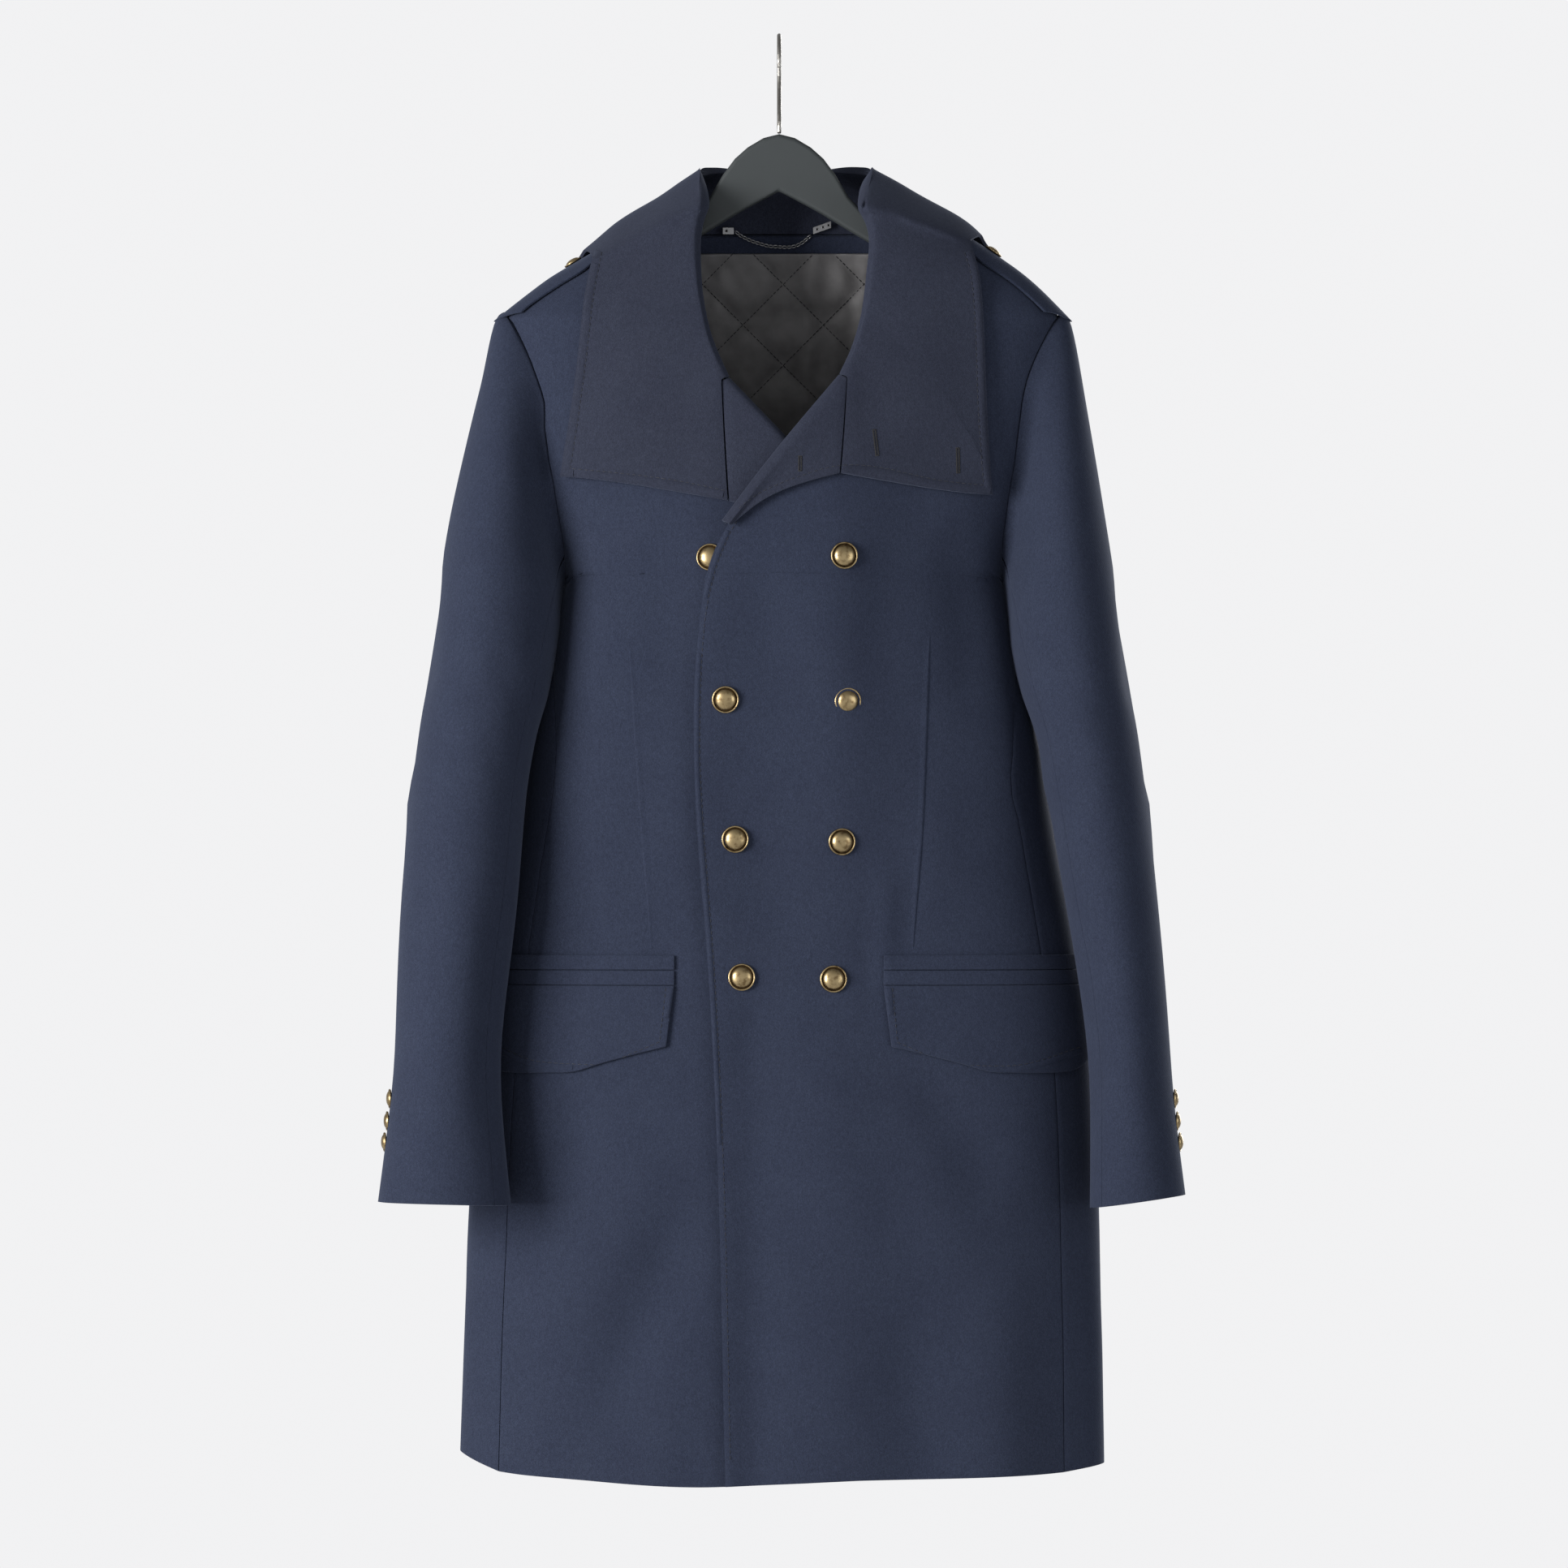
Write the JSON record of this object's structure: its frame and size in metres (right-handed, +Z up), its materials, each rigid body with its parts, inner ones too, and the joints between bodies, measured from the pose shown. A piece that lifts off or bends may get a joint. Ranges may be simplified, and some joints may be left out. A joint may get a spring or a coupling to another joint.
{
  "type": "military greatcoat on a hanger",
  "caption": "Navy wool double-breasted coat with wide lapels, shoulder straps, flap pockets and brass buttons, hanging hollow on a flat hanger with a wire hook",
  "frame": {"origin": "inside top of the hanger's hook, where it bears on a rail", "axes": "+Z up, -Y the coat's front, +X the wearer's left"},
  "size_m": [0.616, 0.2304, 1.1127],
  "materials": {
    "navy_wool": "brushed navy wool melton with a fine nap",
    "lining": "charcoal twill lining, diamond quilted",
    "antique_brass": "antique brass, dark patina in the groove",
    "hanger_plastic": "matte moulded charcoal",
    "hook_steel": "satin wire",
    "chain_steel": "bright plated"
  },
  "bodies": {
    "root": {"back": "navy_wool", "back_neck_facing": "navy_wool", "chain_plate_left": "chain_steel", "chain_plate_right": "chain_steel", "collar": "navy_wool", "cuff_button_left_1": "antique_brass", "cuff_button_left_2": "antique_brass", "cuff_button_left_3": "antique_brass", "cuff_button_right_1": "antique_brass", "cuff_button_right_2": "antique_brass", "cuff_button_right_3": "antique_brass", "front_button_1": "antique_brass", "front_button_2": "antique_brass", "front_button_3": "antique_brass", "front_button_4": "antique_brass", "front_button_5": "antique_brass", "front_button_6": "antique_brass", "front_button_7": "antique_brass", "front_button_8": "antique_brass", "front_left": "navy_wool", "front_right": "navy_wool", "hanger": "hanger_plastic", "hanger_chain": "chain_steel", "hook": "hook_steel", "jetting_lower_left": "navy_wool", "jetting_lower_right": "navy_wool", "jetting_upper_left": "navy_wool", "jetting_upper_right": "navy_wool", "lapel_left": "navy_wool", "lapel_right": "navy_wool", "lining": "lining", "pocket_flap_left": "navy_wool", "pocket_flap_right": "navy_wool", "shoulder_strap_left": "navy_wool", "shoulder_strap_right": "navy_wool", "side_left": "navy_wool", "side_right": "navy_wool", "strap_button_left": "antique_brass", "strap_button_right": "antique_brass", "top_sleeve_left": "navy_wool", "top_sleeve_right": "navy_wool", "under_sleeve_left": "navy_wool", "under_sleeve_right": "navy_wool"}
  },
  "joints": []
}
